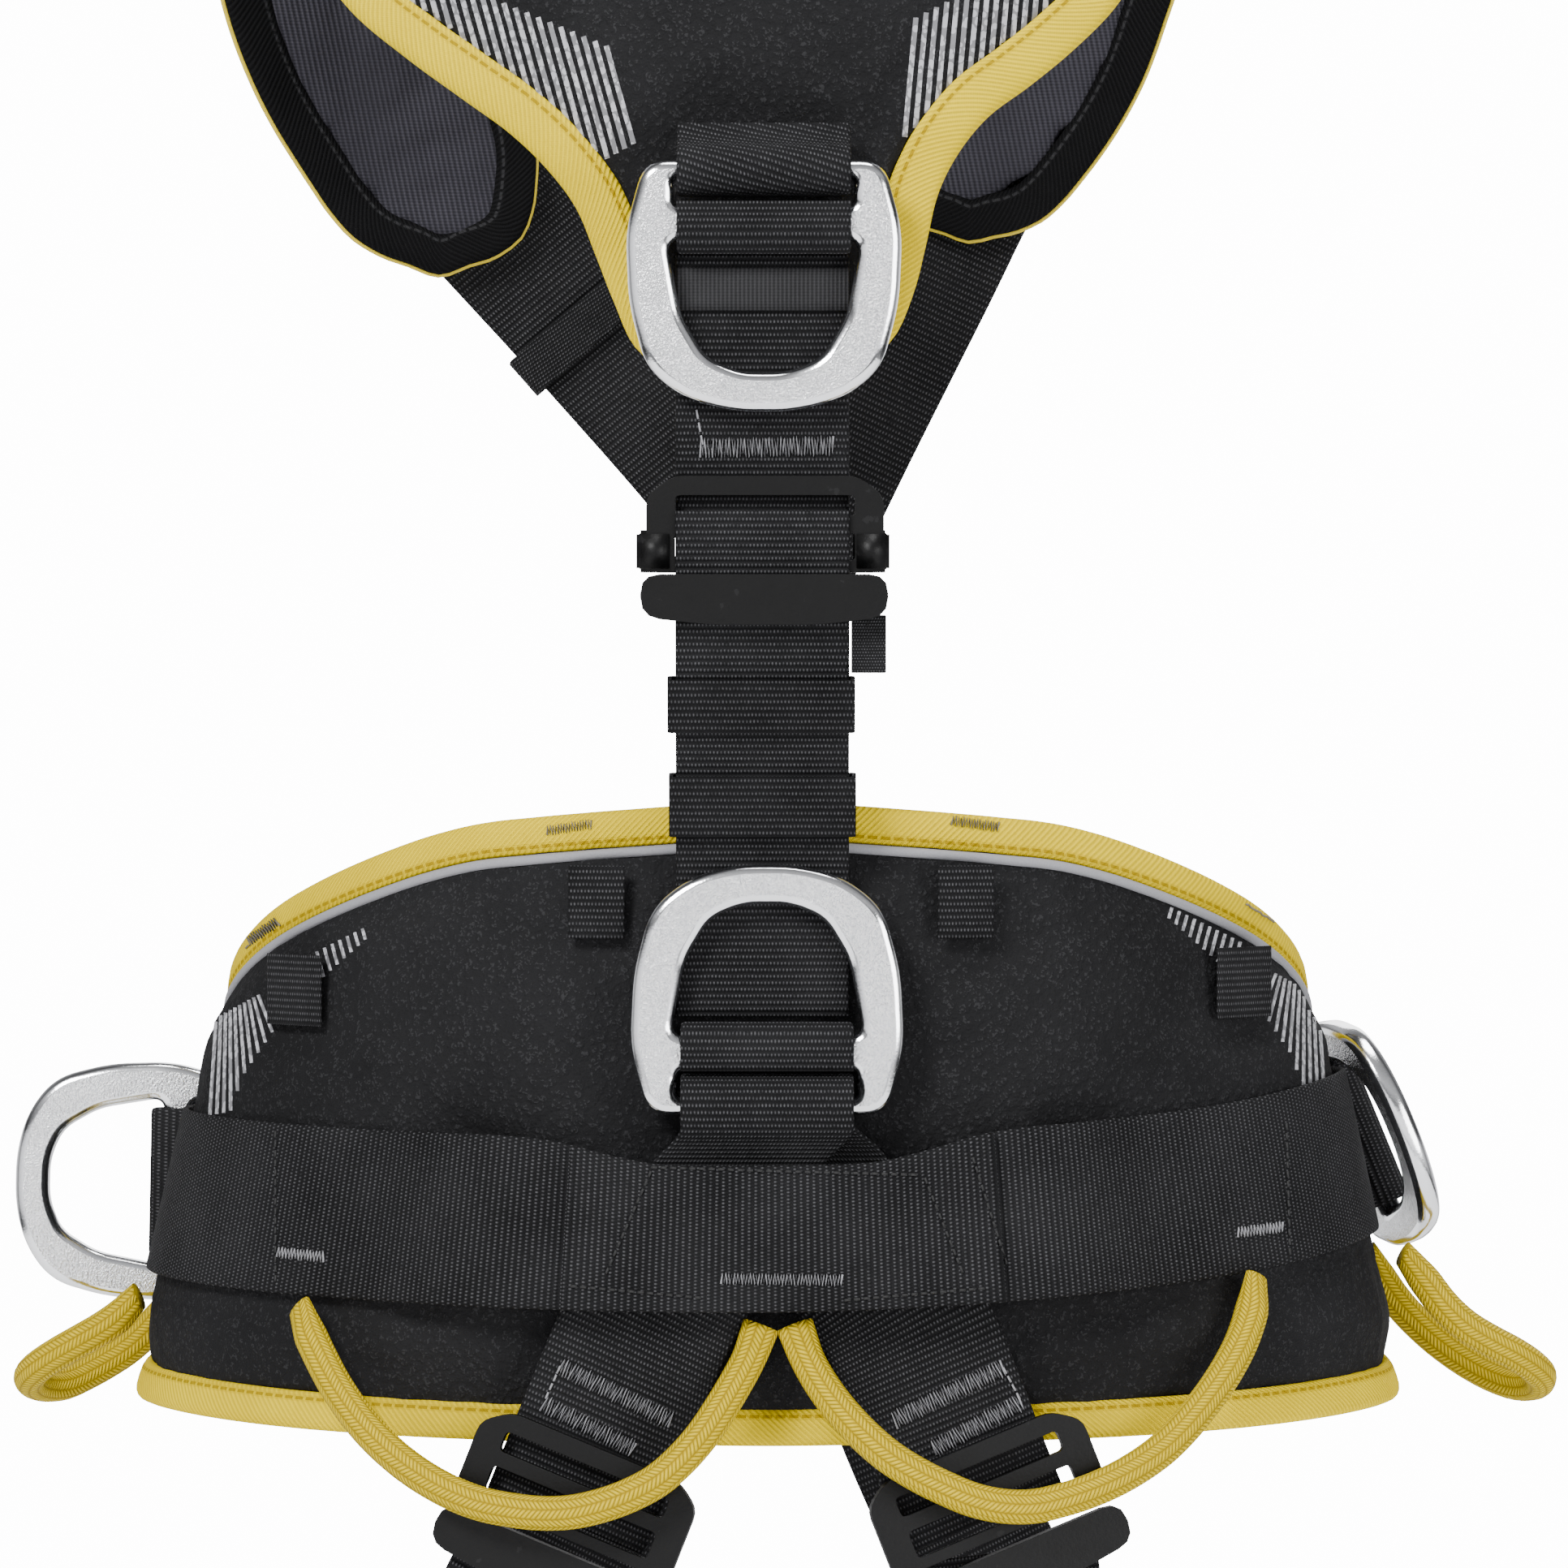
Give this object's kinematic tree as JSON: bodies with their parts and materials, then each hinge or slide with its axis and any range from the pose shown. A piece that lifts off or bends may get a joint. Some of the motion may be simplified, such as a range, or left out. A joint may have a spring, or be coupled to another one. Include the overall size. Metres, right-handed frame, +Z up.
{
  "type": "full-body safety harness",
  "caption": "Full-body fall-arrest harness with a padded waist belt, shoulder yoke, leg loops, forged rings and gear loops.",
  "frame": {"origin": "on the inner face of the vertical back strap, where it bears on the wearer's upper back", "axes": "+Z up, +Y the way the wearer faces, +X the wearer's right"},
  "size_m": [0.426, 0.2632, 0.7472],
  "materials": {
    "webbing": "woven polyester, matt",
    "elastic": "knitted elastic, matt",
    "yellow_tape": "twill tape",
    "black_tape": "twill tape",
    "pad_fabric": "knitted spacer mesh",
    "lining": "fine ribbed lining",
    "alloy": "tumbled and polished",
    "black_metal": "matt black coating",
    "braid": "braided cord sheath",
    "label": "woven label"
  },
  "bodies": {
    "webbing_and_pads": {"waist_pad": "pad_fabric", "waist_binding_top": "yellow_tape", "waist_binding_bottom": "yellow_tape", "waist_band": "webbing", "waist_centre_patch": "webbing", "front_band": "webbing", "leg_riser_right": "webbing", "leg_riser_left": "webbing", "belt_tab_left_outer": "webbing", "belt_tab_left_inner": "webbing", "belt_tab_right_inner": "webbing", "belt_tab_right_outer": "webbing", "leg_buckle_frame_left": "black_metal", "leg_buckle_frame_right": "black_metal", "back_strap_upper": "webbing", "back_strap_lower": "webbing", "back_buckle_frame": "black_metal", "label_tag": "label", "dorsal_webbing": "webbing", "dorsal_keeper": "elastic", "yoke_pad": "pad_fabric", "yoke_binding_left": "yellow_tape", "yoke_binding_right": "yellow_tape", "shoulder_pad_left": "lining", "shoulder_binding_left": "black_tape", "chest_strap_left": "webbing", "shoulder_pad_right": "lining", "shoulder_binding_right": "black_tape", "chest_strap_right": "webbing", "front_strap": "webbing", "waist_buckle_left": "black_metal", "waist_buckle_right": "black_metal", "leg_pad_left": "pad_fabric", "leg_webbing_left": "webbing", "leg_strap_left": "webbing", "leg_front_strap_left": "webbing", "leg_pad_right": "pad_fabric", "leg_webbing_right": "webbing", "leg_strap_right": "webbing", "leg_front_strap_right": "webbing"},
    "dorsal_ring_body": {"dorsal_ring": "alloy", "dorsal_ring_wrap": "webbing"},
    "waist_ring_body": {"waist_ring": "alloy", "waist_ring_wrap": "webbing"},
    "side_ring_left_body": {"side_ring_left": "alloy", "side_flap_left": "webbing"},
    "side_ring_right_body": {"side_ring_right": "alloy", "side_flap_right": "webbing"},
    "sternal_ring_body": {"sternal_ring": "alloy"},
    "ventral_ring_body": {"ventral_ring": "alloy"},
    "gear_loop_rear_left_body": {"gear_loop_rear_left": "braid"},
    "gear_loop_rear_right_body": {"gear_loop_rear_right": "braid"},
    "gear_loop_side_left_body": {"gear_loop_side_left": "braid"},
    "gear_loop_side_right_body": {"gear_loop_side_right": "braid"},
    "back_keeper_upper_body": {"back_strap_keeper_upper": "elastic"},
    "back_keeper_lower_body": {"back_strap_keeper_lower": "elastic"},
    "chest_keeper_body": {"chest_keeper_left": "elastic"},
    "back_buckle_plate_body": {"back_buckle_plate": "black_metal"},
    "leg_buckle_plate_left_body": {"leg_buckle_plate_left": "black_metal"},
    "leg_buckle_plate_right_body": {"leg_buckle_plate_right": "black_metal"}
  },
  "joints": [
    {"name": "dorsal_ring_hinge", "type": "hinge", "parent": "webbing_and_pads", "child": "dorsal_ring_body", "pos_m": [0.0004, -0.00665, 0.08025], "axis": [-1, 0, 0], "range_deg": [0, 130]},
    {"name": "waist_ring_hinge", "type": "hinge", "parent": "webbing_and_pads", "child": "waist_ring_body", "pos_m": [0.0012, 0.00515, -0.16225], "axis": [1, 0, 0], "range_deg": [0, 110]},
    {"name": "side_ring_left_hinge", "type": "hinge", "parent": "webbing_and_pads", "child": "side_ring_left_body", "pos_m": [-0.1506, 0.1826, -0.1895], "axis": [0.02, 0, 0.9998], "range_deg": [-70, 5]},
    {"name": "side_ring_right_hinge", "type": "hinge", "parent": "webbing_and_pads", "child": "side_ring_right_body", "pos_m": [0.1612, 0.182, -0.177], "axis": [-0.3818, 0, 0.9243], "range_deg": [0, 130]},
    {"name": "sternal_ring_hinge", "type": "hinge", "parent": "webbing_and_pads", "child": "sternal_ring_body", "pos_m": [-0.0006, 0.242, -0.032], "axis": [1, 0, 0], "range_deg": [0, 90]},
    {"name": "ventral_ring_hinge", "type": "hinge", "parent": "webbing_and_pads", "child": "ventral_ring_body", "pos_m": [-0.0006, 0.2436, -0.18], "axis": [1, 0, 0], "range_deg": [0, 80]},
    {"name": "gear_loop_rear_left_hinge", "type": "hinge", "parent": "webbing_and_pads", "child": "gear_loop_rear_left_body", "pos_m": [-0.06132, 0.02233, -0.21913], "axis": [-0.9547, 0.2969, 0.0217], "range_deg": [0, 50]},
    {"name": "gear_loop_rear_right_hinge", "type": "hinge", "parent": "webbing_and_pads", "child": "gear_loop_rear_right_body", "pos_m": [0.06965, 0.02529, -0.21525], "axis": [-0.9388, -0.3348, -0.0809], "range_deg": [0, 50]},
    {"name": "gear_loop_side_left_hinge", "type": "hinge", "parent": "webbing_and_pads", "child": "gear_loop_side_left_body", "pos_m": [-0.1678, 0.1475, -0.22], "axis": [0.1413, 0.9891, -0.0404], "range_deg": [-15, 20]},
    {"name": "gear_loop_side_right_hinge", "type": "hinge", "parent": "webbing_and_pads", "child": "gear_loop_side_right_body", "pos_m": [0.1717, 0.14975, -0.2085], "axis": [0.1251, -0.9915, 0.0357], "range_deg": [-15, 30]},
    {"name": "back_keeper_upper_slide", "type": "slide", "parent": "webbing_and_pads", "child": "back_keeper_upper_body", "axis": [0, -0.2756, 0.9613], "range_m": [-0.004, 0.001]},
    {"name": "back_keeper_lower_slide", "type": "slide", "parent": "webbing_and_pads", "child": "back_keeper_lower_body", "axis": [0, -0.2504, 0.9681], "range_m": [-0.003, 0.003]},
    {"name": "chest_keeper_slide", "type": "slide", "parent": "webbing_and_pads", "child": "chest_keeper_body", "axis": [0.6399, 0.05, -0.7669], "range_m": [-0.002, 0.002]},
    {"name": "back_buckle_plate_hinge", "type": "hinge", "parent": "webbing_and_pads", "child": "back_buckle_plate_body", "pos_m": [0.0005, -0.0078, -0.0245], "axis": [-1, 0, 0], "range_deg": [0, 35]},
    {"name": "leg_buckle_plate_left_hinge", "type": "hinge", "parent": "webbing_and_pads", "child": "leg_buckle_plate_left_body", "pos_m": [-0.05335, 0.01187, -0.27753], "axis": [-0.9125, 0.1775, 0.3687], "range_deg": [0, 30]},
    {"name": "leg_buckle_plate_right_hinge", "type": "hinge", "parent": "webbing_and_pads", "child": "leg_buckle_plate_right_body", "pos_m": [0.06343, 0.01338, -0.27741], "axis": [-0.9076, -0.2046, -0.3667], "range_deg": [0, 30]}
  ]
}
